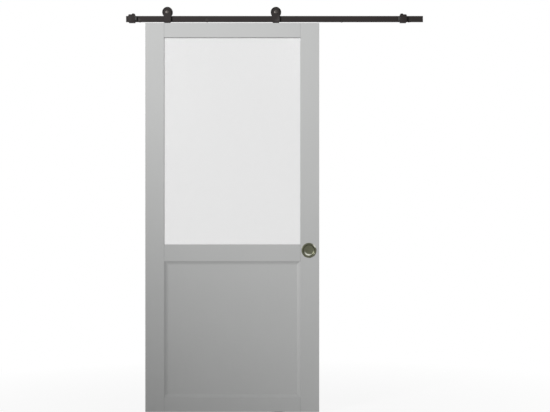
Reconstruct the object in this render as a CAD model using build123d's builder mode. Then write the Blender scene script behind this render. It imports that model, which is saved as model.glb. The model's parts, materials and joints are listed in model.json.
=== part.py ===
"""A stile-and-rail door leaf hung on two grooved wheels that run along a flat bar track."""
import os

from build123d import *

# Sizes are in millimetres: x to the right, z up, and the wall is the plane y = 0.
# A depth is a distance in front of the wall, towards the room, so it is -y.
# The origin is on the wall, at the middle wall screw.

# Leaf and its frame
leaf_width = 908.0
leaf_height = 2032.0
leaf_thickness = 40.0
leaf_centre_x = -220.6
leaf_top = -18.5
leaf_back = 14.0
stile_width = 98.0
top_rail_height = 76.0
lock_rail_height = 86.0
bottom_rail_height = 74.0
glass_opening_height = 1082.0
arris = 0.8
dowel_radius = 4.95
dowel_hole_radius = 5.0
dowel_hole_length = 80.0
dowel_length = 78.0
dowel_end_bevel = 1.0
top_dowel_drops = (42.0, 58.0)
lock_dowel_rises = (28.0, 58.0)
bottom_dowel_drops = (20.0, 40.0)

# Glazing
rebate = 10.0
front_lip = 10.0
seal_thickness = 2.0
glass_thickness = 6.0
pane_clearance = 2.0
seal_width = 7.0
glazing_bead_depth = 20.0
glazing_bead_step = 13.0
glazing_bead_back = 4.0

# Lower panel and the bevelled beads around it
panel_thickness = 16.0
panel_groove = 10.0
panel_edge_clearance = 2.0
panel_groove_play = 0.2
panel_bead_width = 19.0
panel_bead_height = 11.0
panel_bead_nose = 1.6

# Cup pulls
pull_x = 180.0
pull_z = -1206.5
pull_flange_radius = 39.0
pull_flange_thickness = 2.0
pull_cup_radius = 31.5
pull_cup_depth = 12.0
pull_wall = 1.5
pull_corner = 6.0
pull_rim_rounding = 1.6
pull_pocket_play = 0.3

# Track bar and its wall fixings
rail_length = 1554.0
rail_height = 32.0
rail_thickness = 6.0
rail_centre_z = 4.0
rail_arris = 0.6
standoff_length = 31.0
standoff_radius = 9.0
standoff_bore = 4.5
standoff_arris = 0.8
standoff_pitch = 355.0
wall_screw_head = 7.5
wall_screw_shank = 3.6
wall_screw_thread = 4.0
wall_screw_embedment = 50.0
countersink_play = 0.2
screw_head_land = 0.4
screw_point_ratio = 2.5
screw_socket_ratio = 0.45
screw_socket_depth_ratio = 0.6

# Wheels, bearings and axles
left_axle_x = -560.0
right_axle_x = 7.6
wheel_radius = 27.5
wheel_width = 22.0
tread_radius = 19.2
tread_play = 0.3
groove_width = 8.0
groove_mouth = 9.6
wheel_edge = 1.2
hub_radius = 16.0
rim_inner_radius = 23.0
face_recess = 3.0
bearing_radius = 13.0
bearing_width = 8.0
bearing_shoulder = 11.0
outer_race = 10.6
inner_race = 7.4
ball_radius = 2.35
ball_count = 7
cage_width = 6.4
cage_thickness = 1.4
cage_pocket_depth = 5.6
race_play = 0.1
fit_play = 0.05
axle_radius = 5.0
axle_head_radius = 9.0
axle_head_height = 4.5
axle_head_land = 1.2
axle_dome_radius = 14.0
axle_end_depth = 17.0
axle_end_bevel = 1.0
axle_socket = 6.0
axle_socket_depth = 2.7
washer_radius = 9.0
washer_thickness = 1.5
nut_across_flats = 16.0
nut_height = 8.0
nut_collar_radius = 6.6
nut_collar_height = 2.0

# Hanger straps
strap_width = 38.0
strap_thickness = 4.0
strap_gap = 1.5
strap_bend_radius = 5.0
strap_end_rounding = 8.0
foot_width = 30.0
foot_end_depth = 17.0
foot_corner = 6.0
foot_screw_spacing_x = 17.0
foot_screw_spacing_y = 14.0
foot_screw_centre_depth = 31.0
foot_screw_head = 4.4
foot_screw_shank = 2.0
foot_screw_thread = 2.2
foot_screw_length = 35.0

# End stops
left_stop_inner_x = -728.9
right_stop_inner_x = 656.1
stop_length = 35.0
stop_bottom = -16.3
stop_top = 26.6
stop_rib_top = 30.8
stop_rib_start = 2.5
stop_rib_end = 15.5
stop_corner = 5.0
stop_edge = 1.0
stop_front_depth = 53.0
stop_back_depth = 22.0
stop_slot_play = 0.2
stop_screw_radius = 3.0
stop_screw_spacing = 16.0
stop_screw_socket = 3.0
bumper_reach = 10.0
bumper_height = 22.0
bumper_depth = 12.0
bumper_corner = 4.0
bumper_nose = 3.0
bumper_plug_radius = 4.0
bumper_plug_length = 8.0

# Floor guide
floor_gap = 10.0
guide_x = 20.0
guide_groove_width = 8.0
guide_groove_depth = 18.0
guide_base_length = 70.0
guide_base_width = 40.0
guide_base_thickness = 3.0
guide_base_corner = 6.0
guide_blade_length = 40.0
guide_blade_thickness = 5.0
guide_blade_rise = 21.0
guide_blade_edge = 1.5
guide_screw_spacing = 54.0
guide_screw_head = 4.2
guide_screw_shank = 1.9
guide_screw_thread = 2.1
guide_screw_length = 30.0

# Places worked out from the sizes above
leaf_front = leaf_back + leaf_thickness
leaf_middle = leaf_back + leaf_thickness / 2
leaf_left = leaf_centre_x - leaf_width / 2
leaf_right = leaf_centre_x + leaf_width / 2
leaf_bottom = leaf_top - leaf_height
opening_left = leaf_left + stile_width
opening_right = leaf_right - stile_width
opening_width = opening_right - opening_left
glass_top = leaf_top - top_rail_height
glass_bottom = glass_top - glass_opening_height
glass_middle = (glass_top + glass_bottom) / 2
panel_top = glass_bottom - lock_rail_height
panel_bottom = leaf_bottom + bottom_rail_height
panel_height = panel_top - panel_bottom
panel_middle = (panel_top + panel_bottom) / 2
lip_back = leaf_front - front_lip
pane_front = lip_back - seal_thickness
pane_back = pane_front - glass_thickness
top_dowels = [leaf_top - drop for drop in top_dowel_drops]
lock_dowels = [panel_top + rise for rise in lock_dowel_rises]
bottom_dowels = [panel_bottom - drop for drop in bottom_dowel_drops]
rail_back = standoff_length
rail_front = rail_back + rail_thickness
rail_middle = rail_back + rail_thickness / 2
rail_top = rail_centre_z + rail_height / 2
standoff_places = [standoff_pitch * step for step in (-2, -1, 0, 1, 2)]
axle_z = rail_top + tread_radius + tread_play
wheel_front = rail_middle + wheel_width / 2
wheel_back = rail_middle - wheel_width / 2
bearing_front = rail_middle + bearing_width / 2
bearing_back = rail_middle - bearing_width / 2
race_centre = (inner_race + outer_race) / 2
strap_back = wheel_front + strap_gap
strap_front = strap_back + strap_thickness
foot_top = leaf_top + strap_thickness
axles = {"left": left_axle_x, "right": right_axle_x}
floor_z = leaf_bottom - floor_gap
guide_base_top = floor_z + guide_base_thickness


def at_depth(depth):
    """A plane parallel to the wall: first x, then z, extruding towards the room."""
    return Plane.XZ.offset(depth)


def side_plane(x):
    """A plane square to the wall and upright: first the depth, then z."""
    return Plane(origin=(x, 0, 0), x_dir=(0, -1, 0), z_dir=(-1, 0, 0))


def turning_plane(x, z):
    """A plane for half-sections of turned pieces: first the radius, then the depth."""
    return Plane(origin=(x, 0, z), x_dir=(1, 0, 0), z_dir=(0, 0, -1))


def turning_axis(x, z):
    """The line that such a half-section is turned about."""
    return Axis((x, 0, z), (0, -1, 0))


def countersunk_screw(head_radius, shank_radius, thread_radius, plain_length, length):
    """A screw pointing down, with the top of its head at the origin."""
    head_height = head_radius - shank_radius + screw_head_land
    point_length = screw_point_ratio * thread_radius
    socket_radius = screw_socket_ratio * head_radius
    with BuildPart() as screw:
        with BuildSketch(Plane.XZ):
            with BuildLine():
                Polyline(
                    (0, 0),
                    (head_radius, 0),
                    (head_radius, -screw_head_land),
                    (shank_radius, -head_height),
                    (shank_radius, -plain_length),
                    (thread_radius, -plain_length),
                    (thread_radius, point_length - length),
                    (0, -length),
                    close=True,
                )
            make_face()
        revolve(axis=Axis.Z)
        with BuildSketch():
            RegularPolygon(socket_radius, 6)
        extrude(amount=-screw_socket_depth_ratio * head_height, mode=Mode.SUBTRACT)
    return screw.part


def bore_for_dowels(heights):
    """Dowel holes across the joints, half in the rail's end and half in the stile."""
    for joint_x in (opening_left, opening_right):
        with BuildSketch(side_plane(joint_x)) as holes:
            with Locations(*[(leaf_middle, height) for height in heights]):
                Circle(dowel_hole_radius)
        extrude(holes.sketch, amount=dowel_hole_length / 2, both=True, mode=Mode.SUBTRACT)


def cut_guide_groove():
    """The groove along the leaf's underside that the floor guide's blade runs in."""
    with BuildSketch(side_plane(leaf_centre_x)) as groove:
        with Locations((leaf_middle, leaf_bottom)):
            Rectangle(guide_groove_width, 2 * guide_groove_depth)
    extrude(groove.sketch, amount=leaf_width, both=True, mode=Mode.SUBTRACT)


def ease_rail_ends(rail):
    """The small bevel that shows as a line where a rail meets its stiles."""
    faces = rail.faces().sort_by(Axis.Y)
    ends = faces[0].edges().filter_by(Axis.Z) + faces[-1].edges().filter_by(Axis.Z)
    chamfer(ends, arris)


def mitred_bead(section, left, right, bottom, top, seat_depth, inward, facing):
    """One side of a mitred frame of beads inside the given rectangle.

    The section's points are the distance inward from the rectangle and the height off the seat.
    """
    run = inward.cross(facing)
    half_width = (right - left) / 2
    half_height = (top - bottom) / 2
    centre = Vector((left + right) / 2, -seat_depth, (bottom + top) / 2)
    reach = half_width if abs(inward.X) > 0 else half_height
    half_run = half_height if abs(inward.X) > 0 else half_width
    start = centre - inward * reach - run * half_run
    end = start + run * (2 * half_run)
    with BuildPart() as bead:
        with BuildSketch(Plane(origin=start, x_dir=inward, z_dir=run)):
            with BuildLine():
                Polyline(*section, close=True)
            make_face()
        extrude(amount=2 * half_run)
        split(bisect_by=Plane(origin=start, z_dir=run - inward), keep=Keep.TOP)
        split(bisect_by=Plane(origin=end, z_dir=-run - inward), keep=Keep.TOP)
    return bead


def stile(outer_x, inner_x):
    """An upright of the leaf's frame, rebated for the pane and grooved for the panel."""
    towards_opening = 1 if inner_x > outer_x else -1
    cut_centre_x = inner_x - towards_opening * rebate / 2
    with BuildPart() as upright:
        with BuildSketch(at_depth(leaf_back)):
            with Locations(((outer_x + inner_x) / 2, (leaf_top + leaf_bottom) / 2)):
                Rectangle(stile_width, leaf_height)
        extrude(amount=leaf_thickness)
        faces = upright.faces().sort_by(Axis.Y)
        chamfer(faces[0].edges() + faces[-1].edges(), arris)
        with BuildSketch(at_depth(lip_back)):
            with Locations((cut_centre_x, glass_middle)):
                Rectangle(rebate, glass_opening_height + 2 * rebate)
        extrude(amount=-leaf_thickness, mode=Mode.SUBTRACT)
        with BuildSketch(at_depth(leaf_middle)):
            with Locations((cut_centre_x, panel_middle)):
                Rectangle(panel_groove, panel_height + 2 * panel_groove)
        extrude(amount=panel_thickness / 2 + panel_groove_play, both=True, mode=Mode.SUBTRACT)
        bore_for_dowels(top_dowels + lock_dowels + bottom_dowels)
        cut_guide_groove()
        for face_depth, inwards in ((leaf_front, -1), (leaf_back, 1)):
            with BuildSketch(at_depth(face_depth)):
                with Locations((pull_x, pull_z)):
                    Circle(pull_cup_radius + pull_pocket_play)
            extrude(amount=inwards * (pull_cup_depth + pull_pocket_play), mode=Mode.SUBTRACT)
    return upright


def rail_blank(bottom, top):
    """The profile of a rail before its rebate and grooves: a rectangle with eased corners."""
    with BuildSketch(side_plane(leaf_centre_x)) as profile:
        with Locations((leaf_middle, (bottom + top) / 2)):
            Rectangle(leaf_thickness, top - bottom)
        chamfer(profile.vertices(), arris)
    return profile.sketch


def glass_rebate(edge_z):
    """The profile of the glazing rebate, on the rail's edge at this height, open to the back."""
    with BuildSketch(side_plane(leaf_centre_x)) as profile:
        with Locations((lip_back - leaf_thickness / 2, edge_z)):
            Rectangle(leaf_thickness, 2 * rebate)
    return profile.sketch


def panel_channel(edge_z):
    """The profile of the groove that holds the panel's edge."""
    with BuildSketch(side_plane(leaf_centre_x)) as profile:
        with Locations((leaf_middle, edge_z)):
            Rectangle(panel_thickness + 2 * panel_groove_play, 2 * panel_groove)
    return profile.sketch


def mould_rail(bottom, top, cuts, dowels):
    """A rail run through the moulder: its profile, the cuts along its edges, and the dowel holes."""
    with BuildPart() as rail:
        extrude(rail_blank(bottom, top), amount=opening_width / 2, both=True)
        ease_rail_ends(rail)
        for cut in cuts:
            extrude(cut, amount=opening_width, both=True, mode=Mode.SUBTRACT)
        bore_for_dowels(dowels)
    return rail


def top_rail():
    """The rail that the hangers are screwed to, with their pilot holes."""
    with BuildPart() as rail:
        add(mould_rail(glass_top, leaf_top, [glass_rebate(glass_top)], top_dowels).part)
        with Locations(*[(x, y, leaf_top) for x, y in hanger_screw_places()]):
            Hole(foot_screw_thread + fit_play, foot_screw_length)
    return rail


def bottom_rail():
    """The rail that carries the lower panel and is grooved underneath for the floor guide."""
    with BuildPart() as rail:
        add(mould_rail(leaf_bottom, panel_bottom, [panel_channel(panel_bottom)], bottom_dowels).part)
        cut_guide_groove()
    return rail


def frame_dowels():
    """The wooden dowels that hold the rails between the stiles."""
    with BuildPart() as dowels:
        for joint_x in (opening_left, opening_right):
            with BuildSketch(side_plane(joint_x)):
                with Locations(*[(leaf_middle, z) for z in top_dowels + lock_dowels + bottom_dowels]):
                    Circle(dowel_radius)
            extrude(amount=dowel_length / 2, both=True)
        chamfer(dowels.edges().filter_by(GeomType.CIRCLE), dowel_end_bevel)
    return dowels


def glass_pane():
    """The frosted pane, a little smaller than its rebate."""
    with BuildPart() as pane:
        with BuildSketch(at_depth(pane_back)):
            with Locations((leaf_centre_x, glass_middle)):
                Rectangle(
                    opening_width + 2 * (rebate - pane_clearance),
                    glass_opening_height + 2 * (rebate - pane_clearance),
                )
        extrude(amount=glass_thickness)
    return pane


def glass_seal():
    """The flat rubber strip between the pane and the front lip, one closed frame."""
    outer_width = opening_width + 2 * (rebate - pane_clearance)
    outer_height = glass_opening_height + 2 * (rebate - pane_clearance)
    with BuildPart() as seal:
        with BuildSketch(at_depth(pane_front)):
            with Locations((leaf_centre_x, glass_middle)):
                Rectangle(outer_width, outer_height)
                Rectangle(outer_width - 2 * seal_width, outer_height - 2 * seal_width, mode=Mode.SUBTRACT)
        extrude(amount=seal_thickness)
    return seal


def lower_panel():
    """The flat panel held in the grooves of the stiles and rails."""
    with BuildPart() as panel:
        with BuildSketch(at_depth(leaf_middle)):
            with Locations((leaf_centre_x, panel_middle)):
                Rectangle(
                    opening_width + 2 * (panel_groove - panel_edge_clearance),
                    panel_height + 2 * (panel_groove - panel_edge_clearance),
                )
        extrude(amount=panel_thickness / 2, both=True)
    return panel


def cup_pull(face_depth, outward):
    """A drawn metal cup with a rounded flange, let into one face of the right stile."""
    flange_top = face_depth + outward * pull_flange_thickness
    floor_top = face_depth - outward * (pull_cup_depth - pull_wall)
    cup_back = face_depth - outward * pull_cup_depth
    dish_radius = pull_cup_radius - pull_wall
    dish_corner = pull_corner - pull_wall
    with BuildPart() as pull:
        with BuildSketch(turning_plane(pull_x, pull_z)) as section:
            with BuildLine():
                Polyline(
                    (0, floor_top),
                    (dish_radius, floor_top),
                    (dish_radius, flange_top),
                    (pull_flange_radius, flange_top),
                    (pull_flange_radius, face_depth),
                    (pull_cup_radius, face_depth),
                    (pull_cup_radius, cup_back),
                    (0, cup_back),
                    close=True,
                )
            make_face()
            for radius, depth, rounding in (
                (dish_radius, floor_top, dish_corner),
                (pull_cup_radius, cup_back, pull_corner),
                (dish_radius, flange_top, pull_rim_rounding),
                (pull_flange_radius, flange_top, pull_rim_rounding),
            ):
                corner = section.vertices().sort_by_distance(section_point(radius, depth))[0]
                fillet(corner, rounding)
        revolve(axis=turning_axis(pull_x, pull_z))
    return pull


def section_point(radius, depth):
    """A point of a half-section, in the sketch's own plane."""
    return Vector(radius, depth, 0)


def track_rail():
    """The flat bar, drilled and countersunk for the wall screws."""
    with BuildPart() as rail:
        with BuildSketch(at_depth(rail_back)):
            with Locations((0, rail_centre_z)):
                Rectangle(rail_length, rail_height)
        extrude(amount=rail_thickness)
        chamfer(rail.edges().filter_by(Axis.X), rail_arris)
        seat_plane = at_depth(rail_front - screw_head_land)
        with Locations(*[seat_plane * Location((x, 0, 0)) for x in standoff_places]):
            CounterSinkHole(standoff_bore, wall_screw_head + countersink_play, counter_sink_angle=90)
    return rail


def wall_standoff(x):
    """A turned tube that keeps the bar clear of the wall."""
    with BuildPart() as standoff:
        with BuildSketch(at_depth(0)):
            with Locations((x, 0)):
                Circle(standoff_radius)
                Circle(standoff_bore, mode=Mode.SUBTRACT)
        extrude(amount=standoff_length)
        rims = standoff.edges().filter_by(GeomType.CIRCLE).group_by(SortBy.RADIUS)[-1]
        chamfer(rims, standoff_arris)
    return standoff


def wall_screws():
    """The screws through bar and standoffs, with bare threads behind the wall plane."""
    screw = countersunk_screw(
        wall_screw_head, wall_screw_shank, wall_screw_thread, rail_front, rail_front + wall_screw_embedment
    )
    with BuildPart() as screws:
        with Locations(*[Location((x, -rail_front, 0), (90, 0, 0)) for x in standoff_places]):
            add(screw)
    return screws


def wheel(x):
    """A grooved wheel, bored from the back for its bearing."""
    groove_bottom = groove_width / 2
    groove_top = groove_mouth / 2
    with BuildPart() as roller:
        with BuildSketch(turning_plane(x, axle_z)) as section:
            with BuildLine():
                Polyline(
                    (bearing_radius, wheel_back),
                    (hub_radius, wheel_back),
                    (hub_radius, wheel_back + face_recess),
                    (rim_inner_radius, wheel_back + face_recess),
                    (rim_inner_radius, wheel_back),
                    (wheel_radius, wheel_back),
                    (wheel_radius, rail_middle - groove_top),
                    (tread_radius, rail_middle - groove_bottom),
                    (tread_radius, rail_middle + groove_bottom),
                    (wheel_radius, rail_middle + groove_top),
                    (wheel_radius, wheel_front),
                    (rim_inner_radius, wheel_front),
                    (rim_inner_radius, wheel_front - face_recess),
                    (hub_radius, wheel_front - face_recess),
                    (hub_radius, wheel_front),
                    (bearing_shoulder, wheel_front),
                    (bearing_shoulder, bearing_front),
                    (bearing_radius, bearing_front),
                    close=True,
                )
            make_face()
            fillet(section.vertices().group_by(Axis.X)[-1], wheel_edge)
        revolve(axis=turning_axis(x, axle_z))
    return roller


def bearing_ring(x, inner_radius, outer_radius):
    """One ring of a ball bearing, with the ball track turned into it."""
    with BuildPart() as ring:
        with BuildSketch(turning_plane(x, axle_z)):
            with Locations(((inner_radius + outer_radius) / 2, rail_middle)):
                Rectangle(outer_radius - inner_radius, bearing_width)
            with Locations((race_centre, rail_middle)):
                Circle(ball_radius + race_play, mode=Mode.SUBTRACT)
        revolve(axis=turning_axis(x, axle_z))
    return ring


def bearing_balls(x):
    """The ring of steel balls between the races."""
    with BuildPart() as balls:
        with Locations(at_depth(rail_middle) * Location((x, axle_z, 0))):
            with PolarLocations(race_centre, ball_count):
                Sphere(ball_radius)
    return balls


def bearing_cage(x):
    """The ring that keeps the balls apart, drilled through for each of them."""
    with BuildPart() as cage:
        with BuildSketch(at_depth(rail_middle)):
            with Locations((x, axle_z)):
                Circle(race_centre + cage_thickness / 2)
                Circle(race_centre - cage_thickness / 2, mode=Mode.SUBTRACT)
        extrude(amount=cage_width / 2, both=True)
        with Locations(at_depth(rail_middle) * Location((x, axle_z, 0))):
            with PolarLocations(race_centre, ball_count):
                Cylinder(
                    ball_radius + race_play,
                    cage_pocket_depth,
                    rotation=(0, 90, 0),
                    mode=Mode.SUBTRACT,
                )
    return cage


def axle_bolt(x):
    """The bolt that carries the wheel, with a low domed head in front of the strap."""
    head_top = strap_front + axle_head_height
    dome_start = strap_front + axle_head_land
    with BuildPart() as bolt:
        with BuildSketch(turning_plane(x, axle_z)):
            with BuildLine():
                RadiusArc((axle_head_radius, dome_start), (0, head_top), axle_dome_radius)
                Polyline(
                    (0, head_top),
                    (0, axle_end_depth),
                    (axle_radius - axle_end_bevel, axle_end_depth),
                    (axle_radius, axle_end_depth + axle_end_bevel),
                    (axle_radius, strap_front),
                    (axle_head_radius, strap_front),
                    (axle_head_radius, dome_start),
                )
            make_face()
        revolve(axis=turning_axis(x, axle_z))
        with BuildSketch(at_depth(head_top)):
            with Locations((x, axle_z)):
                RegularPolygon(axle_socket / 2, 6, major_radius=False)
        extrude(amount=-axle_socket_depth, mode=Mode.SUBTRACT)
    return bolt


def axle_tube(x, outer_radius, back_depth, front_depth):
    """A plain ring on the axle, such as a spacer or a washer."""
    with BuildPart() as tube:
        with BuildSketch(at_depth(back_depth)):
            with Locations((x, axle_z)):
                Circle(outer_radius)
                Circle(axle_radius + fit_play, mode=Mode.SUBTRACT)
        extrude(amount=front_depth - back_depth)
    return tube


def axle_washers():
    """The washers behind the bearings."""
    with BuildPart() as washers:
        for x in axles.values():
            add(axle_tube(x, washer_radius, bearing_back - washer_thickness, bearing_back).part)
    return washers


def axle_nuts():
    """The locking nuts on the back of the axle bolts."""
    nut_front = bearing_back - washer_thickness
    with BuildPart() as nuts:
        with BuildSketch(at_depth(nut_front)):
            with Locations(*[(x, axle_z) for x in axles.values()]):
                RegularPolygon(nut_across_flats / 2, 6, major_radius=False)
                Circle(axle_radius + fit_play, mode=Mode.SUBTRACT)
        extrude(amount=-nut_height)
        with BuildSketch(at_depth(nut_front - nut_height)):
            with Locations(*[(x, axle_z) for x in axles.values()]):
                Circle(nut_collar_radius)
                Circle(axle_radius + fit_play, mode=Mode.SUBTRACT)
        extrude(amount=-nut_collar_height)
    return nuts


def foot_screw_places(x):
    """The plan positions of the screws in the foot of the strap at this x."""
    half_x = foot_screw_spacing_x / 2
    half_y = foot_screw_spacing_y / 2
    return [
        (x + side * half_x, -foot_screw_centre_depth + row * half_y)
        for side in (-1, 1)
        for row in (-1, 1)
    ]


def hanger_screw_places():
    """The plan positions of all the hanger screws."""
    return [place for x in axles.values() for place in foot_screw_places(x)]


def hanger_strap(x):
    """A flat steel strap, round at the top and bent back over the leaf into a narrower screwed foot."""
    centre_depth = strap_back + strap_thickness / 2
    bend_end_depth = centre_depth - strap_bend_radius
    foot_centre_z = leaf_top + strap_thickness / 2
    with BuildPart() as strap:
        with BuildSketch(side_plane(x)):
            with BuildLine():
                FilletPolyline(
                    (centre_depth, axle_z + strap_width / 2),
                    (centre_depth, foot_centre_z),
                    (foot_end_depth, foot_centre_z),
                    radius=strap_bend_radius,
                )
            trace(line_width=strap_thickness)
        extrude(amount=strap_width / 2, both=True)
        with BuildSketch(at_depth(0)):
            with Locations((x, (axle_z + leaf_top) / 2)):
                Rectangle(strap_width, axle_z - leaf_top)
            with Locations((x, axle_z)):
                Circle(strap_width / 2)
        extrude(amount=strap_front + strap_thickness, mode=Mode.INTERSECT)
        with BuildSketch(at_depth(bend_end_depth)):
            with Locations((x, leaf_top)):
                Rectangle(strap_width, 2 * strap_end_rounding)
            with Locations((x, leaf_top + strap_width / 2)):
                RectangleRounded(strap_width, strap_width, strap_end_rounding, mode=Mode.SUBTRACT)
        extrude(amount=strap_front - bend_end_depth, mode=Mode.SUBTRACT)
        with BuildSketch(at_depth(bend_end_depth)):
            with Locations((x, foot_centre_z)):
                Rectangle(strap_width, strap_thickness)
                Rectangle(foot_width, strap_thickness, mode=Mode.SUBTRACT)
        extrude(amount=foot_end_depth - bend_end_depth, mode=Mode.SUBTRACT)
        fillet(strap.faces().sort_by(Axis.Y)[-1].edges().filter_by(Axis.Z), foot_corner)
        with BuildSketch(at_depth(strap_back)):
            with Locations((x, axle_z)):
                Circle(axle_radius + fit_play)
        extrude(amount=strap_thickness, mode=Mode.SUBTRACT)
        seat_z = foot_top - screw_head_land
        with Locations(*[(screw_x, screw_y, seat_z) for screw_x, screw_y in foot_screw_places(x)]):
            CounterSinkHole(
                foot_screw_thread + countersink_play,
                foot_screw_head + countersink_play,
                counter_sink_angle=90,
            )
    return strap


def hanger_screws():
    """The countersunk wood screws that hold the straps' feet to the leaf."""
    screw = countersunk_screw(
        foot_screw_head, foot_screw_shank, foot_screw_thread, foot_screw_length / 2, foot_screw_length
    )
    with BuildPart() as screws:
        with Locations(*[(x, y, foot_top) for x, y in hanger_screw_places()]):
            add(screw)
    return screws


def stop_screw_heights():
    """The heights of a stop's two grub screws."""
    return [rail_centre_z - stop_screw_spacing / 2, rail_centre_z + stop_screw_spacing / 2]


def end_stop(inner_x, outward):
    """A saddle over the bar, ribbed on its inner side, with threaded holes in its back cheek."""
    with BuildPart() as stop:
        with BuildSketch(at_depth(stop_back_depth)):
            with BuildLine():
                Polyline(
                    (inner_x, stop_bottom),
                    (inner_x, stop_top),
                    (inner_x + outward * stop_rib_start, stop_top),
                    (inner_x + outward * stop_rib_start, stop_rib_top),
                    (inner_x + outward * stop_rib_end, stop_rib_top),
                    (inner_x + outward * stop_rib_end, stop_top),
                    (inner_x + outward * (stop_length - stop_corner), stop_top),
                    (inner_x + outward * stop_length, stop_top - stop_corner),
                    (inner_x + outward * stop_length, stop_bottom + stop_corner),
                    (inner_x + outward * (stop_length - stop_corner), stop_bottom),
                    close=True,
                )
            make_face()
        extrude(amount=stop_front_depth - stop_back_depth)
        chamfer(stop.faces().sort_by(Axis.Y)[0].edges(), stop_edge)
        with BuildSketch(side_plane(inner_x)):
            with Locations((rail_middle, rail_top + stop_slot_play - rail_height)):
                Rectangle(rail_thickness + 2 * stop_slot_play, 2 * rail_height)
        extrude(amount=stop_length, both=True, mode=Mode.SUBTRACT)
        with BuildSketch(at_depth(stop_back_depth)):
            with Locations(*[(inner_x + outward * stop_length / 2, z) for z in stop_screw_heights()]):
                Circle(stop_screw_radius + fit_play)
        extrude(amount=rail_back - stop_back_depth, mode=Mode.SUBTRACT)
        with BuildSketch(side_plane(inner_x)):
            with Locations((strap_back, rail_centre_z)):
                Circle(bumper_plug_radius + fit_play)
        extrude(amount=bumper_plug_length + fit_play, both=True, mode=Mode.SUBTRACT)
    return stop


def stop_bumper(inner_x, outward):
    """A rubber nose with rounded edges, held by a plug in the stop's inner face."""
    with BuildPart() as bumper:
        with BuildSketch(side_plane(inner_x)):
            with Locations((strap_back, rail_centre_z)):
                RectangleRounded(bumper_depth, bumper_height, bumper_corner)
        extrude(amount=outward * bumper_reach)
        nose = bumper.faces().sort_by(Axis.X)[-1 if outward < 0 else 0]
        fillet(nose.edges(), bumper_nose)
        with BuildSketch(side_plane(inner_x)):
            with Locations((strap_back, rail_centre_z)):
                Circle(bumper_plug_radius)
        extrude(amount=-outward * bumper_plug_length)
    return bumper


def stop_screws():
    """The grub screws that pinch the stops on the bar."""
    with BuildPart() as screws:
        for inner_x, outward in ((left_stop_inner_x, -1), (right_stop_inner_x, 1)):
            places = [(inner_x + outward * stop_length / 2, z) for z in stop_screw_heights()]
            with BuildSketch(at_depth(stop_back_depth)):
                with Locations(*places):
                    Circle(stop_screw_radius)
            extrude(amount=rail_back - stop_back_depth)
            with BuildSketch(at_depth(stop_back_depth)):
                with Locations(*places):
                    RegularPolygon(stop_screw_socket / 2, 6, major_radius=False)
            extrude(amount=stop_screw_socket, mode=Mode.SUBTRACT)
    return screws


def guide_screw_places():
    """The plan positions of the floor guide's screws, on the leaf's centre line."""
    return [(guide_x + side * guide_screw_spacing / 2, -leaf_middle) for side in (-1, 1)]


def floor_guide():
    """A base plate on the floor with a round-ended blade that stands in the leaf's groove."""
    with BuildPart() as guide:
        with BuildSketch(Plane.XY.offset(floor_z)):
            with Locations((guide_x, -leaf_middle)):
                RectangleRounded(guide_base_length, guide_base_width, guide_base_corner)
        extrude(amount=guide_base_thickness)
        with BuildSketch(Plane.XY.offset(guide_base_top)):
            with Locations((guide_x, -leaf_middle)):
                SlotOverall(guide_blade_length, guide_blade_thickness)
        extrude(amount=guide_blade_rise)
        fillet(guide.faces().sort_by(Axis.Z)[-1].edges(), guide_blade_edge)
        seat_z = guide_base_top - screw_head_land
        with Locations(*[(x, y, seat_z) for x, y in guide_screw_places()]):
            CounterSinkHole(
                guide_screw_thread + countersink_play,
                guide_screw_head + countersink_play,
                counter_sink_angle=90,
            )
    return guide


def floor_guide_screws():
    """The countersunk screws through the guide's base, with bare threads below the floor plane."""
    screw = countersunk_screw(
        guide_screw_head, guide_screw_shank, guide_screw_thread, guide_base_thickness, guide_screw_length
    )
    with BuildPart() as screws:
        with Locations(*[(x, y, guide_base_top) for x, y in guide_screw_places()]):
            add(screw)
    return screws


def save(piece, label):
    """Name a finished piece and write it."""
    piece.part.label = label
    export_step(piece.part, f"parts/{label}.step")


def save_track():
    """Everything that is fixed to the wall and the floor."""
    save(track_rail(), "track_rail")
    for number, x in enumerate(standoff_places, start=1):
        save(wall_standoff(x), f"wall_standoff_{number}")
    save(wall_screws(), "wall_screws")
    for side, inner_x, outward in (("left", left_stop_inner_x, -1), ("right", right_stop_inner_x, 1)):
        save(end_stop(inner_x, outward), f"{side}_stop")
        save(stop_bumper(inner_x, outward), f"{side}_stop_bumper")
    save(stop_screws(), "stop_screws")
    save(floor_guide(), "floor_guide")
    save(floor_guide_screws(), "floor_guide_screws")


def save_beads():
    """The beads behind the pane, and those on both faces of the lower panel."""
    inwards = {
        "left": Vector(1, 0, 0),
        "right": Vector(-1, 0, 0),
        "top": Vector(0, 0, -1),
        "bottom": Vector(0, 0, 1),
    }
    glazing_section = [
        (0, 0),
        (rebate, 0),
        (rebate, glazing_bead_step),
        (glazing_bead_back, glazing_bead_depth),
        (0, glazing_bead_depth),
    ]
    panel_section = [
        (0, 0),
        (panel_bead_width, 0),
        (panel_bead_width, panel_bead_nose),
        (0, panel_bead_height),
    ]
    front, back = Vector(0, -1, 0), Vector(0, 1, 0)
    glazing = (opening_left - rebate, opening_right + rebate, glass_bottom - rebate, glass_top + rebate)
    panel = (opening_left, opening_right, panel_bottom, panel_top)
    panel_front = leaf_middle + panel_thickness / 2
    panel_back = leaf_middle - panel_thickness / 2
    for side, inward in inwards.items():
        save(mitred_bead(glazing_section, *glazing, pane_back, inward, back), f"{side}_glazing_bead")
        save(mitred_bead(panel_section, *panel, panel_front, inward, front), f"front_{side}_panel_bead")
        save(mitred_bead(panel_section, *panel, panel_back, inward, back), f"rear_{side}_panel_bead")


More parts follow.
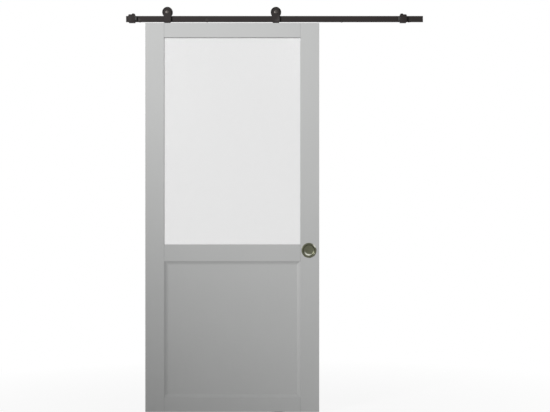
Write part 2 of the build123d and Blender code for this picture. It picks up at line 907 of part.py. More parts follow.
def save_leaf():
    """The door leaf with its pane, panel and pulls."""
    save(stile(leaf_left, opening_left), "left_stile")
    save(stile(leaf_right, opening_right), "right_stile")
    save(top_rail(), "top_rail")
    lock_cuts = [glass_rebate(glass_bottom), panel_channel(panel_top)]
    save(mould_rail(panel_top, glass_bottom, lock_cuts, lock_dowels), "lock_rail")
    save(bottom_rail(), "bottom_rail")
    save(frame_dowels(), "frame_dowels")
    save(glass_pane(), "glass_pane")
    save(glass_seal(), "glass_seal")
    save(lower_panel(), "lower_panel")
    save_beads()
    save(cup_pull(leaf_front, 1), "front_cup_pull")
    save(cup_pull(leaf_back, -1), "rear_cup_pull")


def save_hangers():
    """The straps, axles, bearings and wheels that the leaf hangs from."""
    for side, x in axles.items():
        save(hanger_strap(x), f"{side}_hanger_strap")
        save(axle_bolt(x), f"{side}_axle_bolt")
        save(axle_tube(x, inner_race, bearing_front, strap_back), f"{side}_axle_spacer")
        save(bearing_ring(x, axle_radius + fit_play, inner_race), f"{side}_bearing_inner")
        save(bearing_ring(x, outer_race, bearing_radius - fit_play), f"{side}_bearing_outer")
        save(bearing_balls(x), f"{side}_bearing_balls")
        save(bearing_cage(x), f"{side}_bearing_cage")
        save(wheel(x), f"{side}_wheel")
    save(hanger_screws(), "hanger_screws")
    save(axle_washers(), "axle_washers")
    save(axle_nuts(), "axle_nuts")


os.makedirs("parts", exist_ok=True)
save_track()
save_leaf()
save_hangers()
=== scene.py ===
"""Looks of a sliding door: its paint, glass, track, hangers, wheels and pulls, in a plain studio."""

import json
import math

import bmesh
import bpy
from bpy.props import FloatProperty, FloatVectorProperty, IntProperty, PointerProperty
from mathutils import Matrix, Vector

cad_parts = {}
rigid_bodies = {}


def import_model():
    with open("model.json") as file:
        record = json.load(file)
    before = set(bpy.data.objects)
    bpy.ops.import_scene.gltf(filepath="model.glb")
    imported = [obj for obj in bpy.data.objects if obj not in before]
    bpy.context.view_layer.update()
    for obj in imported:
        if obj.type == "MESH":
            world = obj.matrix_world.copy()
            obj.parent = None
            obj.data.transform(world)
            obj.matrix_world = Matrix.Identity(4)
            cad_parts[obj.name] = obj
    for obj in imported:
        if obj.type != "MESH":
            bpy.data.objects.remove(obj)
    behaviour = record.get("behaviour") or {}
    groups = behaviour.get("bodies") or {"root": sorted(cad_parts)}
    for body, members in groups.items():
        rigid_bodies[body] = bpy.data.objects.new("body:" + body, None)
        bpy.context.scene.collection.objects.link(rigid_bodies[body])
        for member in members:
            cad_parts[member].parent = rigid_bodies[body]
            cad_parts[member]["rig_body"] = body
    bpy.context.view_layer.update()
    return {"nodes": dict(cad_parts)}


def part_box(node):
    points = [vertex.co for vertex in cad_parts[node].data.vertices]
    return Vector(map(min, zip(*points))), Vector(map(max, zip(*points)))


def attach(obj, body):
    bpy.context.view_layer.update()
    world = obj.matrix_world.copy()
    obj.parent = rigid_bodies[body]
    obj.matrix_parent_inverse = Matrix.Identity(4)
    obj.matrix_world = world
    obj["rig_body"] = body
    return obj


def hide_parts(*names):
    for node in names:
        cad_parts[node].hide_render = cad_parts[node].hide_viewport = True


bl_info = {
    "name": "Sliding Door",
    "version": (1, 0, 0),
    "blender": (4, 5, 0),
    "location": "3D View > Sidebar > Door",
    "description": "Models and finishes a door leaf that hangs on a flat bar track",
    "category": "Object",
}

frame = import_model()

# Lengths are in metres. A depth is a distance in front of the wall, so a place's y is minus its depth.
LEFT_AND_RIGHT = ("left", "right")
FRONT = Vector((0, -1, 0))
INWARD = {
    "left": Vector((1, 0, 0)),
    "right": Vector((-1, 0, 0)),
    "top": Vector((0, 0, -1)),
    "bottom": Vector((0, 0, 1)),
}
DEPTH_TO_DOWN = Matrix.Rotation(-math.pi / 2, 4, "X")
CLOSE = 1e-5
CLEAR = 0.001
SEAT_LAND = 0.0004
WALL_FIXINGS = range(1, 6)


def a_colour(name, description, *colour):
    return FloatVectorProperty(name=name, description=description, default=colour, subtype="COLOR")


def a_place(name, description, *place):
    return FloatVectorProperty(name=name, description=description, default=place, subtype="XYZ")


def a_length(name, description, length):
    return FloatProperty(name=name, description=description, default=length, unit="LENGTH", precision=4)


def a_number(name, description, number, **limits):
    return FloatProperty(name=name, description=description, default=number, **limits)


class LeafProperties(bpy.types.PropertyGroup):
    """Colours and surface of the painted leaf and its pane."""

    paint: a_colour("Paint", "Colour of the painted timber", 0.430, 0.434, 0.431)
    paint_roughness: a_number("Paint roughness", "How dull the satin paint is", 0.42, min=0.0, max=1.0)
    roller_texture: a_length("Roller texture", "Size of the paint's fine dimples", 0.0016)
    joint_line: a_length("Joint line", "Width of the line where a rail meets a stile", 0.0005)
    cove_sharpness: a_number("Cove", "How steeply the panel's beads rise to the frame", 1.7, min=1.0, max=5.0)
    beech: a_colour("Beech", "Colour of the wooden dowels", 0.56, 0.36, 0.20)
    glass: a_colour("Glass", "Tint of the frosted pane", 0.77, 0.77, 0.77)
    glass_roughness: a_number("Glass roughness", "How strongly the pane scatters", 0.3, min=0.0, max=1.0)
    seal: a_colour("Seal", "Colour of the glazing rubber", 0.66, 0.66, 0.66)


class HardwareProperties(bpy.types.PropertyGroup):
    """Colours and the smaller sizes of the metal and rubber pieces."""

    coating: a_colour("Coating", "Colour of the powder-coated steel", 0.021, 0.017, 0.0165)
    wheel_colour: a_colour("Wheels", "Colour of the moulded wheels", 0.021, 0.017, 0.017)
    screw_colour: a_colour("Screws", "Colour of the blackened screws", 0.026, 0.023, 0.022)
    axle_colour: a_colour("Axles", "Colour of the browned axle bolts", 0.056, 0.050, 0.047)
    pull_patina: a_colour("Pull patina", "Colour of the darkened cup pulls", 0.105, 0.108, 0.074)
    # Colour of the highlight arcs painted on the pulls. They stand in for a lamp's reflection, not for metal
    # rubbed bright by fingers.
    pull_highlight: a_colour("Pull metal", "Colour where fingers rub the pulls", 0.66, 0.665, 0.58)
    bearing_colour: a_colour("Bearing steel", "Colour of the ground bearing rings", 0.60, 0.60, 0.62)
    brass: a_colour("Brass", "Colour of the ball cages", 0.72, 0.48, 0.18)
    rubber: a_colour("Rubber", "Colour of the bumpers", 0.022, 0.021, 0.020)
    turning_steps: IntProperty(name="Turning steps", description="Facets round a turn", default=72, min=12)
    edge: a_length("Broken edge", "Rounding left on cut steel edges", 0.0005)
    groove_floor: a_length("Groove floor", "Half width of the wheel's groove at its floor", 0.004)
    groove_mouth: a_length("Groove mouth", "Half width of the wheel's groove at the rim", 0.0048)
    tread_radius: a_length("Tread radius", "Radius of the groove's floor", 0.0192)
    hub_radius: a_length("Hub radius", "Radius of the wheel's raised hub", 0.016)
    web_depth: a_length("Web recess", "How far the wheel's web lies behind its rim", 0.003)
    bearing_radius: a_length("Bearing radius", "Outer radius of the ball bearing", 0.013)
    bolt_radius: a_length("Axle radius", "Radius of the axle bolt's shank", 0.005)
    strap_bend: a_length("Strap bend", "Outer radius of the strap's bend", 0.007)
    strap_thickness: a_length("Strap thickness", "Thickness of the hanger strap", 0.004)
    strap_end_radius: a_length("Strap corners", "Rounding of the upright leg's lower corners", 0.008)
    foot_half_width: a_length("Foot half width", "Half the width of the strap's foot", 0.015)


class StageProperties(bpy.types.PropertyGroup):
    """Camera and light of the studio."""

    camera_distance: a_length("Camera distance", "From the wall plane to the camera", 7.054)
    camera_side: a_length("Camera side", "Camera's place across the track", 0.0026)
    camera_height: a_length("Camera height", "Camera's height against the track", -0.9747)
    lens: a_number("Lens", "Focal length in millimetres", 87.75)
    key_power: a_number("Key power", "Power of the main lamp", 1410.0, unit="POWER")
    key_place: a_place("Key place", "Where the main lamp stands", -3.03, -4.95, 0.48)
    key_aim: a_place("Key aim", "The point that the main lamp faces", 1.78, 0.0, 0.86)
    key_cone: a_number("Key cone", "Opening angle of the main lamp's beam", 1.354, subtype="ANGLE")
    key_size: a_length("Key size", "Radius of the main lamp, which softens its shadows", 0.45)
    back_power: a_number("Back light", "Power of the lamp behind", 48.0, unit="POWER")
    back_size: a_length("Back size", "Width of the lamp behind", 2.2)
    back_place: a_place("Back place", "Where the lamp behind stands", 1.6, 3.2, 1.2)
    back_aim: a_place("Back aim", "The point that the lamp behind faces", -0.1, 0.0, -1.0)
    world_grey: a_number("Room light", "Brightness of the room for matt surfaces", 0.38)


def leaf():
    return bpy.context.scene.door_leaf


def hardware():
    return bpy.context.scene.door_hardware


class Value:
    """A number in a shader. An expression on values adds its Math nodes."""

    def __init__(self, shader, socket):
        self.shader = shader
        self.socket = socket

    def math(self, operation, *inputs):
        node = self.shader.node("ShaderNodeMath", {"operation": operation}, dict(enumerate(inputs)))
        return Value(self.shader, node.outputs[0])

    def __add__(self, other):
        return self.math("ADD", self, other)

    __radd__ = __add__

    def __sub__(self, other):
        return self.math("SUBTRACT", self, other)

    def __mul__(self, other):
        return self.math("MULTIPLY", self, other)

    def __pow__(self, other):
        return self.math("POWER", self, other)


class Shader:
    """A node tree, with helpers that add to it."""

    def __init__(self, tree):
        self.tree = tree

    def node(self, kind, settings=None, inputs=None):
        """Add a node, set what it is first, then its sockets' values or links."""
        node = self.tree.nodes.new(kind)
        for key, setting in (settings or {}).items():
            setattr(node, key, setting)
        for key, value in (inputs or {}).items():
            self.feed(node.inputs[key], value)
        return node

    def feed(self, socket, value):
        """Link a value to a socket, or set the socket when it is plain."""
        if isinstance(value, Value):
            value = value.socket
        if isinstance(value, bpy.types.NodeSocket):
            self.tree.links.new(value, socket)
        elif socket.type == "RGBA":
            socket.default_value = (*value, 1)
        else:
            socket.default_value = value

    def remap(self, value, low, high, new_low=0.0, new_high=1.0):
        """Value from one range to another, held at the ends."""
        inputs = {0: value, 1: low, 2: high, 3: new_low, 4: new_high}
        return Value(self, self.node("ShaderNodeMapRange", {}, inputs).outputs[0])

    def in_view(self):
        """1 for what the camera sees, directly, in a glossy surface or through glass."""
        path = self.node("ShaderNodeLightPath")
        seen, mirrored, through = (
            Value(self, path.outputs[f"Is {ray} Ray"]) for ray in ("Camera", "Glossy", "Transmission")
        )
        return seen.math("MAXIMUM", seen.math("MAXIMUM", seen, mirrored), through)


class Finish(Shader):
    """A material being made."""

    def __init__(self, name):
        self.material = bpy.data.materials.new(name)
        self.material.use_nodes = True
        super().__init__(self.material.node_tree)
        self.surface = self.tree.nodes["Principled BSDF"]
        self.place = self.node("ShaderNodeTexCoord").outputs["Object"]

    def set(self, **sockets):
        """Set the surface's sockets by name, with _ for a space."""
        for key, value in sockets.items():
            self.feed(self.surface.inputs[key.replace("_", " ")], value)

    def coordinate(self, axis):
        """The object's coordinate along one axis."""
        return Value(self, self.node("ShaderNodeSeparateXYZ", {}, {0: self.place}).outputs[axis])

    def stretched(self, x, y, z):
        """The object's coordinates, squeezed along each axis."""
        return self.node("ShaderNodeMapping", {}, {"Vector": self.place, "Scale": (x, y, z)}).outputs[0]

    def noise(self, size, detail=3.0, roughness=0.5, place=None):
        """Cloudy values between 0 and 1, with blotches of this size in metres."""
        inputs = {"Vector": place or self.place, "Scale": 1 / size, "Detail": detail, "Roughness": roughness}
        return Value(self, self.node("ShaderNodeTexNoise", {}, inputs).outputs[0])

    def spread(self, noise, low=0.0, high=1.0):
        """The part of a noise where most of it lies, spread from low to high."""
        return self.remap(noise, 0.3, 0.7, low, high)

    def band(self, value, low, high, soft):
        """1 where the value lies between low and high, with soft ends."""
        rising = self.remap(value, low - soft, low + soft)
        falling = self.remap(value, high - soft, high + soft, 1.0, 0.0)
        return rising * falling

    def blend(self, factor, first, second):
        """A colour between two colours."""
        inputs = {0: factor, 6: first, 7: second}
        return self.node("ShaderNodeMix", {"data_type": "RGBA"}, inputs).outputs[2]

    def bump(self, height, distance, strength):
        """Relief from a height, as the surface's normal."""
        inputs = {"Height": height, "Distance": distance, "Strength": strength}
        self.set(Normal=self.node("ShaderNodeBump", {}, inputs).outputs[0])


def shade(colour, factor):
    """A colour, lighter or darker."""
    return tuple(channel * factor for channel in colour)


def painted_timber(name, grain_axis, ends=None):
    """Satin paint laid off along the grain, with a fine line where a rail's ends meet the stiles."""
    sizes = leaf()
    finish = Finish(name)
    squeeze = [14.0, 14.0, 14.0]
    squeeze[grain_axis] = 0.35
    brush_lines = finish.noise(0.055, 4.0, 0.6, finish.stretched(*squeeze))
    cloud = finish.noise(0.30, 2.0)
    dimples = finish.noise(sizes.roller_texture, 2.0, 0.45)
    tone = finish.spread(cloud * 0.6 + brush_lines * 0.4)
    colour = finish.blend(tone, shade(sizes.paint, 0.985), shade(sizes.paint, 1.015))
    if ends:
        line = sizes.joint_line
        unbroken = finish.band(finish.coordinate(0), ends[0] + line, ends[1] - line, line * 0.4)
        colour = finish.blend(unbroken, shade(sizes.paint, 0.45), colour)
    finish.set(
        Base_Color=colour,
        Roughness=finish.spread(brush_lines, sizes.paint_roughness - 0.04, sizes.paint_roughness + 0.04),
        Specular_IOR_Level=0.35,
    )
    finish.bump(dimples * 0.7 + brush_lines * 0.3, 0.00006, 0.6)
    return finish.material


def beech_dowel():
    """Bare beech with short darker flecks along the dowel."""
    beech = leaf().beech
    finish = Finish("beech_dowel")
    grain = finish.noise(0.004, 4.0, 0.65, finish.stretched(0.12, 1, 1))
    flecks = finish.remap(finish.noise(0.0012, 2.0, 0.5, finish.stretched(0.25, 1, 1)), 0.56, 0.66)
    tone = finish.blend(grain, shade(beech, 0.78), shade(beech, 1.1))
    finish.set(Base_Color=finish.blend(flecks * 0.5, tone, shade(beech, 0.45)), Roughness=0.62)
    finish.bump(grain, 0.0001, 0.5)
    return finish.material


def frosted_glass():
    """Etched glass: clear in the body and finely pitted on its surface."""
    sizes = leaf()
    finish = Finish("frosted_glass")
    pits = finish.noise(0.0011, 3.0, 0.6)
    cloud = finish.spread(finish.noise(0.22, 2.0))
    finish.set(
        Base_Color=finish.blend(cloud, shade(sizes.glass, 0.998), shade(sizes.glass, 1.002)),
        Roughness=finish.spread(pits, sizes.glass_roughness - 0.05, sizes.glass_roughness + 0.05),
        Transmission_Weight=1.0,
        IOR=1.45,
    )
    finish.bump(pits, 0.00004, 0.35)
    return finish.material


def soft_rubber(name, colour, roughness):
    """Matt rubber with a faint bloom."""
    finish = Finish(name)
    bloom = finish.remap(finish.noise(0.006, 4.0, 0.6), 0.35, 0.75)
    skin = finish.noise(0.0006, 2.0)
    finish.set(
        Base_Color=finish.blend(bloom, colour, shade(colour, 1.5)),
        Roughness=finish.spread(skin, roughness - 0.06, roughness + 0.06),
        Specular_IOR_Level=0.3,
    )
    finish.bump(skin, 0.00005, 0.5)
    return finish.material


def powder_coat(name, colour, running_height=None):
    """Fine-textured powder coat: tiny pebbles, glossier on their tops, and worn smooth where wheels run."""
    finish = Finish(name)
    pebbles = finish.noise(0.0009, 3.0, 0.55)
    cloud = finish.noise(0.12, 2.0)
    tops = finish.remap(pebbles, 0.35, 0.7)
    tone = finish.blend(cloud * 0.5 + tops * 0.5, shade(colour, 0.78), shade(colour, 1.26))
    gloss = finish.remap(tops, 0.0, 1.0, 0.64, 0.46)
    if running_height is not None:
        streaks = finish.noise(0.004, 3.0, 0.6, finish.stretched(0.05, 1, 1))
        top = finish.remap(finish.coordinate(2), running_height - 0.0009, running_height - 0.0003)
        worn = top * finish.remap(streaks, 0.35, 0.65, 0.25, 1.0)
        tone = finish.blend(worn, tone, shade(colour, 4.0))
        gloss = gloss - worn * 0.2
    finish.set(Base_Color=tone, Roughness=gloss, Specular_IOR_Level=0.14)
    finish.bump(pebbles, 0.00008, 0.7)
    return finish.material


def browned_steel(name, colour):
    """Oiled dark steel with turning marks and paler rubbed places."""
    finish = Finish(name)
    marks = finish.noise(0.0005, 2.0, 0.5, finish.stretched(1, 4, 1))
    rubbed = finish.remap(finish.noise(0.004, 4.0, 0.6), 0.5, 0.75)
    finish.set(
        Base_Color=finish.blend(rubbed, colour, shade(colour, 2.4)),
        Roughness=finish.spread(marks, 0.30, 0.44),
        Metallic=0.85,
    )
    finish.bump(marks, 0.00002, 0.5)
    return finish.material


def ground_metal(name, colour, roughness):
    """Bright metal with fine grinding marks."""
    finish = Finish(name)
    marks = finish.noise(0.0007, 3.0, 0.55, finish.stretched(1, 6, 1))
    cloud = finish.noise(0.01, 2.0)
    finish.set(
        Base_Color=finish.blend(cloud, shade(colour, 0.9), shade(colour, 1.08)),
        Roughness=finish.spread(marks, roughness - 0.06, roughness + 0.06),
        Metallic=1.0,
    )
    finish.bump(marks, 0.00001, 0.4)
    return finish.material


def patina_with_painted_highlights(name, centre):
    """Darkened metal, with two bright arcs painted into its colour as highlights: one in the dish and one on
    the lip.
    """
    sizes = hardware()
    finish = Finish(name)
    marks = finish.noise(0.0007, 3.0, 0.55, finish.stretched(1, 6, 1))
    cloud = finish.noise(0.012, 3.0)
    across = finish.coordinate(0) - centre.x
    up = finish.coordinate(2) - centre.z
    turn = across.math("ARCTAN2", up, across)
    wavy_radius = (across * across + up * up) ** 0.5 + (cloud - 0.5) * 0.003
    # Painted highlights: a bright arc low left in the dish and another high right on the lip, placed where a
    # lamp's reflection falls.
    dish_highlight = finish.band(wavy_radius, 0.0205, 0.0275, 0.0022) * finish.band(turn, -2.55, -1.25, 0.35)
    lip_highlight = finish.band(wavy_radius, 0.0345, 0.0400, 0.0012) * finish.band(turn, 0.42, 0.92, 0.14)
    dark = finish.blend(cloud, shade(sizes.pull_patina, 0.8), shade(sizes.pull_patina, 1.2))
    finish.set(
        Base_Color=finish.blend(dish_highlight.math("MAXIMUM", dish_highlight, lip_highlight), dark, sizes.pull_highlight),
        Roughness=finish.spread(marks, 0.22, 0.36),
        Metallic=1.0,
    )
    finish.bump(marks, 0.00001, 0.4)
    return finish.material


def moulded_nylon(name, colour):
    """Dark moulded plastic with a satin spark-eroded skin."""
    finish = Finish(name)
    skin = finish.noise(0.0007, 2.0, 0.5)
    cloud = finish.noise(0.015, 3.0)
    finish.set(
        Base_Color=finish.blend(cloud, shade(colour, 0.85), shade(colour, 1.2)),
        Roughness=finish.spread(skin, 0.40, 0.52),
        Specular_IOR_Level=0.18,
    )
    finish.bump(skin, 0.00003, 0.5)
    return finish.material


def dress(piece, material):
    """Give a piece one material, all over."""
    piece.data.materials.clear()
    piece.data.materials.append(material)


def dress_nodes(names, material):
    for name in names:
        dress(frame["nodes"][name], material)


def choose(*pieces):
    """Leave edit mode and select these pieces alone, the first one active."""
    if bpy.context.mode != "OBJECT":
        bpy.ops.object.mode_set(mode="OBJECT")
    bpy.ops.object.select_all(action="DESELECT")
    for piece in pieces:
        piece.select_set(True)
    if pieces:
        bpy.context.view_layer.objects.active = pieces[0]


def start_editing(piece):
    """Enter edit mode, set to vertices."""
    choose(piece)
    bpy.ops.object.mode_set(mode="EDIT")
    bpy.ops.mesh.select_mode(type="VERT")


def pick(piece, test):
    """Select the vertices whose place passes the test, with the edges and faces between them."""
    bpy.ops.mesh.select_all(action="DESELECT")
    mesh = bmesh.from_edit_mesh(piece.data)
    for vertex in mesh.verts:
        vertex.select = test(vertex.co)
    mesh.select_flush_mode()
    bmesh.update_edit_mesh(piece.data)


def pick_all():
    bpy.ops.mesh.select_all(action="SELECT")


def settle(piece):
    """Leave edit mode and put the piece's place into its mesh."""
    choose(piece)
    bpy.ops.object.transform_apply(location=True, rotation=True, scale=True)


def added(name):
    """The primitive that was just added, named and settled."""
    piece = bpy.context.object
    piece.name = name
    settle(piece)
    return piece


def close_up(piece):
    """Merge doubles and point every face outwards."""
    start_editing(piece)
    pick_all()
    bpy.ops.mesh.remove_doubles(threshold=CLOSE / 10)
    bpy.ops.mesh.normals_make_consistent(inside=False)
    settle(piece)


def outline(name, corners, roundings=None):
    """A closed wire through the corners, some of them rounded, left in edit mode."""
    choose()
    bpy.ops.mesh.primitive_plane_add(size=CLOSE, location=corners[0])
    wire = added(name)
    start_editing(wire)
    bpy.ops.mesh.merge(type="CENTER")
    for here, there in zip(corners, [*corners[1:], corners[0]]):
        bpy.ops.mesh.extrude_vertices_move(TRANSFORM_OT_translate={"value": there - here})
    pick_all()
    bpy.ops.mesh.remove_doubles(threshold=CLOSE / 10)
    for index, radius in (roundings or {}).items():
        corner = corners[index]
        pick(wire, lambda place: (place - corner).length < CLOSE)
        bpy.ops.mesh.bevel(offset=radius, segments=4, affect="VERTICES")
    pick_all()
    return wire


def turned(name, section, centre, steps=None):
    """Turn a half-section about the depth line through the centre.

    A section point is its radius, its depth and, where the corner is rounded, the rounding.
    """
    corners = [Vector((centre.x + point[0], -point[1], centre.z)) for point in section]
    roundings = {index: point[2] for index, point in enumerate(section) if len(point) > 2}
    piece = outline(name, corners, roundings)
    if section[0][0] == section[-1][0] == 0:
        pick(piece, lambda place: abs(place.x - centre.x) < CLOSE)
        bpy.ops.mesh.delete(type="EDGE_FACE")
    pick_all()
    steps = steps or hardware().turning_steps
    bpy.ops.mesh.spin(steps=steps, angle=math.tau, center=(centre.x, 0, centre.z), axis=(0, 1, 0))
    close_up(piece)
    return piece


def pushed(name, corners, push, roundings=None):
    """A solid made by pushing a flat outline through a distance."""
    piece = outline(name, corners, roundings)
    bpy.ops.mesh.edge_face_add()
    bpy.ops.mesh.extrude_region_move(TRANSFORM_OT_translate={"value": push})
    close_up(piece)
    return piece


def drum(name, radius, start, end, sides=48):
    """A round or six-sided bar between two points."""
    choose()
    bpy.ops.mesh.primitive_cylinder_add(
        vertices=sides,
        radius=radius,
        depth=(end - start).length,
        location=(start + end) / 2,
        rotation=(end - start).to_track_quat("Z", "X").to_euler(),
    )
    return added(name)


def use_modifier(piece, kind, **settings):
    """Add a modifier, set it and apply it."""
    choose(piece)
    modifier = piece.modifiers.new(kind.lower(), kind)
    for key, setting in settings.items():
        setattr(modifier, key, setting)
    bpy.ops.object.modifier_apply(modifier=modifier.name)


def cut(piece, cutter):
    """Cut one piece out of another and remove the cutter."""
    use_modifier(piece, "BOOLEAN", object=cutter, operation="DIFFERENCE", solver="EXACT")
    bpy.data.objects.remove(cutter)


def soften(piece, width, segments=2, angle=30.0):
    """Round the sharp edges a little."""
    where = {"limit_method": "ANGLE", "angle_limit": math.radians(angle)}
    use_modifier(piece, "BEVEL", width=width, segments=segments, miter_outer="MITER_ARC", **where)


def joined(pieces):
    """Make one mesh of several."""
    choose(*pieces)
    bpy.ops.object.join()
    return pieces[0]


def copied(piece, places):
    """Copies of a piece at each place matrix, joined into one. The first one is the piece itself."""
    copies = []
    for place in places[1:]:
        copy = piece.copy()
        copy.data = piece.data.copy()
        bpy.context.collection.objects.link(copy)
        copy.data.transform(place)
        copies.append(copy)
    piece.data.transform(places[0])
    return joined([piece, *copies])


def finish_piece(piece, node, material, smooth=40.0):
    """Smooth a piece, dress it, and let it stand for a node of the frame."""
    choose(piece)
    bpy.ops.object.shade_smooth_by_angle(angle=math.radians(smooth))
    dress(piece, material)
    piece.name = f"{node}_finished"
    piece.data.name = piece.name
    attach(piece, frame["nodes"][node]["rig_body"])
    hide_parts(node)


def middle(node):
    low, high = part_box(node)
    return (low + high) / 2


def six_sided(name, centre, across_flats, start, end):
    """A six-sided bar along the depth, between two places' y."""
    ends = [Vector((centre.x, y, centre.z)) for y in (start, end)]
    return drum(name, across_flats / math.sqrt(3), *ends, sides=6)


def screws(node, steel, places, **sizes):
    """Make a node's screws, one at each place matrix."""
    screw = countersunk_screw(node, **sizes)
    steel = browned_steel(steel, hardware().screw_colour)
    finish_piece(copied(screw, places), node, steel, smooth=30.0)


def countersunk_screw(name, length, plain, head, shank, thread, pitch, socket):
    """A countersunk screw that points to the wall, its head's face at the wall plane, with a real thread."""
    core = thread - 0.31 * pitch
    point = 2.4 * thread
    head_height = head - shank + SEAT_LAND
    section = [
        (0, 0),
        (head - 0.0001, 0),
        (head, -SEAT_LAND / 2),
        (head, -SEAT_LAND),
        (shank, -head_height),
        (shank, -plain),
        (core, -plain - 0.0006),
        (core, point - length),
        (0, -length),
    ]
    origin = Vector()
    screw = turned(name, section, origin, steps=32)
    cut(screw, six_sided("socket", origin, socket, -CLEAR, 0.55 * head_height))
    ridge_radius = 0.36 * pitch
    choose()
    bpy.ops.mesh.primitive_circle_add(
        vertices=3,
        radius=ridge_radius,
        location=(thread - ridge_radius, plain + ridge_radius, 0),
        rotation=(0, 0, -math.pi / 2),
    )
    ridge = added("ridge")
    turns = math.floor((length - plain - 0.75 * point) / pitch)
    winding = {"screw_offset": pitch, "iterations": turns, "steps": 18, "render_steps": 18}
    use_modifier(ridge, "SCREW", axis="Y", angle=math.tau, **winding)
    start_editing(ridge)
    pick_all()
    bpy.ops.mesh.fill_holes(sides=3)
    bpy.ops.mesh.normals_make_consistent(inside=False)
    settle(ridge)
    return joined([screw, ridge])


class DOOR_OT_paint_leaf(bpy.types.Operator):
    """Paint the leaf's frame, panel and beads, cove the panel's beads and leave the dowels bare"""

    bl_idname = "door.paint_leaf"
    bl_label = "Paint the leaf"

    def execute(self, context):
        upright = painted_timber("paint_along_stiles", 2)
        level = painted_timber("paint_along_rails", 0, [corner.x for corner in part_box("lock_rail")])
        dress_nodes(["left_stile", "right_stile", "lower_panel"], upright)
        dress_nodes(["top_rail", "lock_rail", "bottom_rail"], level)
        for side, inward in INWARD.items():
            paint = upright if inward.x else level
            dress_nodes([f"{side}_glazing_bead"], paint)
            for face, facing in (("front", FRONT), ("rear", -FRONT)):
                self.panel_bead(f"{face}_{side}_panel_bead", inward, facing, paint)
        dress_nodes(["frame_dowels"], beech_dowel())
        return {"FINISHED"}

    def panel_bead(self, node, inward, facing, paint):
        """Run one coved bead along its side of the panel and mitre its ends."""
        low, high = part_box(node)
        run = Vector((0, 0, 1)) if inward.x else Vector((1, 0, 0))
        ways = inward + facing
        start = Vector([high[axis] if ways[axis] < 0 else low[axis] for axis in range(3)])
        end = start + run * (high - low).dot(run)
        section = self.cove(abs((high - low).dot(inward)), high.y - low.y)
        bead = pushed(node, [start + inward * across + facing * up for across, up in section], end - start)
        start_editing(bead)
        for place, along in ((start, run), (end, -run)):
            pick_all()
            bpy.ops.mesh.bisect(
                plane_co=place, plane_no=along - inward, use_fill=True, clear_inner=True, threshold=CLOSE / 10
            )
        close_up(bead)
        finish_piece(bead, node, paint, smooth=25.0)

    def cove(self, width, height):
        """Half-section of a bead: a narrow flat along the frame, then a hollow that runs out on the panel."""
        flat = 0.0012
        nose = 0.0008
        steps = 12
        rises = [(step / steps, (step / steps) ** leaf().cove_sharpness) for step in range(steps + 1)]
        hollow = [(width - (width - flat) * share, nose + (height - nose) * rise) for share, rise in rises]
        return [(0, 0), (width, 0), *hollow, (0, height)]


class DOOR_OT_glaze(bpy.types.Operator):
    """Frost the pane and dress its seal"""

    bl_idname = "door.glaze"
    bl_label = "Glaze the leaf"

    def execute(self, context):
        dress_nodes(["glass_pane"], frosted_glass())
        dress_nodes(["glass_seal"], soft_rubber("glazing_rubber", leaf().seal, 0.6))
        return {"FINISHED"}


class DOOR_OT_cup_pulls(bpy.types.Operator):
    """Turn the two cup pulls"""

    bl_idname = "door.cup_pulls"
    bl_label = "Make the cup pulls"

    def execute(self, context):
        cup = 0.0315
        wall = 0.0015
        flange_height = 0.002
        corner = 0.006
        for node, outward in (("front_cup_pull", 1), ("rear_cup_pull", -1)):
            low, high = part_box(node)
            centre = middle(node)
            flange = (high.x - low.x) / 2
            top, bottom = (-low.y, -high.y) if outward > 0 else (-high.y, -low.y)
            seat = top - outward * flange_height
            section = [
                (0, bottom + outward * wall),
                (cup - wall, bottom + outward * wall, corner),
                (cup - wall, top, 0.0016),
                (flange, top, 0.0014),
                (flange, seat),
                (cup, seat),
                (cup, bottom, corner),
                (0, bottom),
            ]
            pull = turned(node, section, centre, steps=96)
            finish_piece(pull, node, patina_with_painted_highlights(f"{node}_metal", centre))
        return {"FINISHED"}


class DOOR_OT_track(bpy.types.Operator):
    """Coat the track bar and turn the standoffs behind it"""

    bl_idname = "door.track"
    bl_label = "Make the track"

    def execute(self, context):
        coat = powder_coat("track_coat", hardware().coating)
        running = powder_coat("running_rail_coat", hardware().coating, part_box("track_rail")[1].z)
        dress_nodes(["track_rail"], running)
        low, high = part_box("wall_standoff_1")
        radius = (high.x - low.x) / 2
        bore = radius / 2
        chamfer = 0.0008
        section = [
            (bore, -high.y),
            (radius - chamfer, -high.y),
            (radius, -high.y + chamfer),
            (radius, -low.y - chamfer),
            (radius - chamfer, -low.y),
            (bore, -low.y),
        ]
        for number in WALL_FIXINGS:
            node = f"wall_standoff_{number}"
            finish_piece(turned(node, section, middle(node)), node, coat, smooth=30.0)
        return {"FINISHED"}


class DOOR_OT_wall_screws(bpy.types.Operator):
    """Make the countersunk screws that hold the bar to the wall"""

    bl_idname = "door.wall_screws"
    bl_label = "Make the wall screws"

    def execute(self, context):
        node = "wall_screws"
        low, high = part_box(node)
        lengths = {"length": high.y - low.y, "plain": -low.y, "head": (high.z - low.z) / 2}
        details = {"shank": 0.0036, "thread": 0.004, "pitch": 0.0026, "socket": 0.005}
        across = [middle(f"wall_standoff_{number}").x for number in WALL_FIXINGS]
        places = [Matrix.Translation((x, low.y, 0)) for x in across]
        screws(node, "browned_steel", places, **lengths, **details)
        return {"FINISHED"}


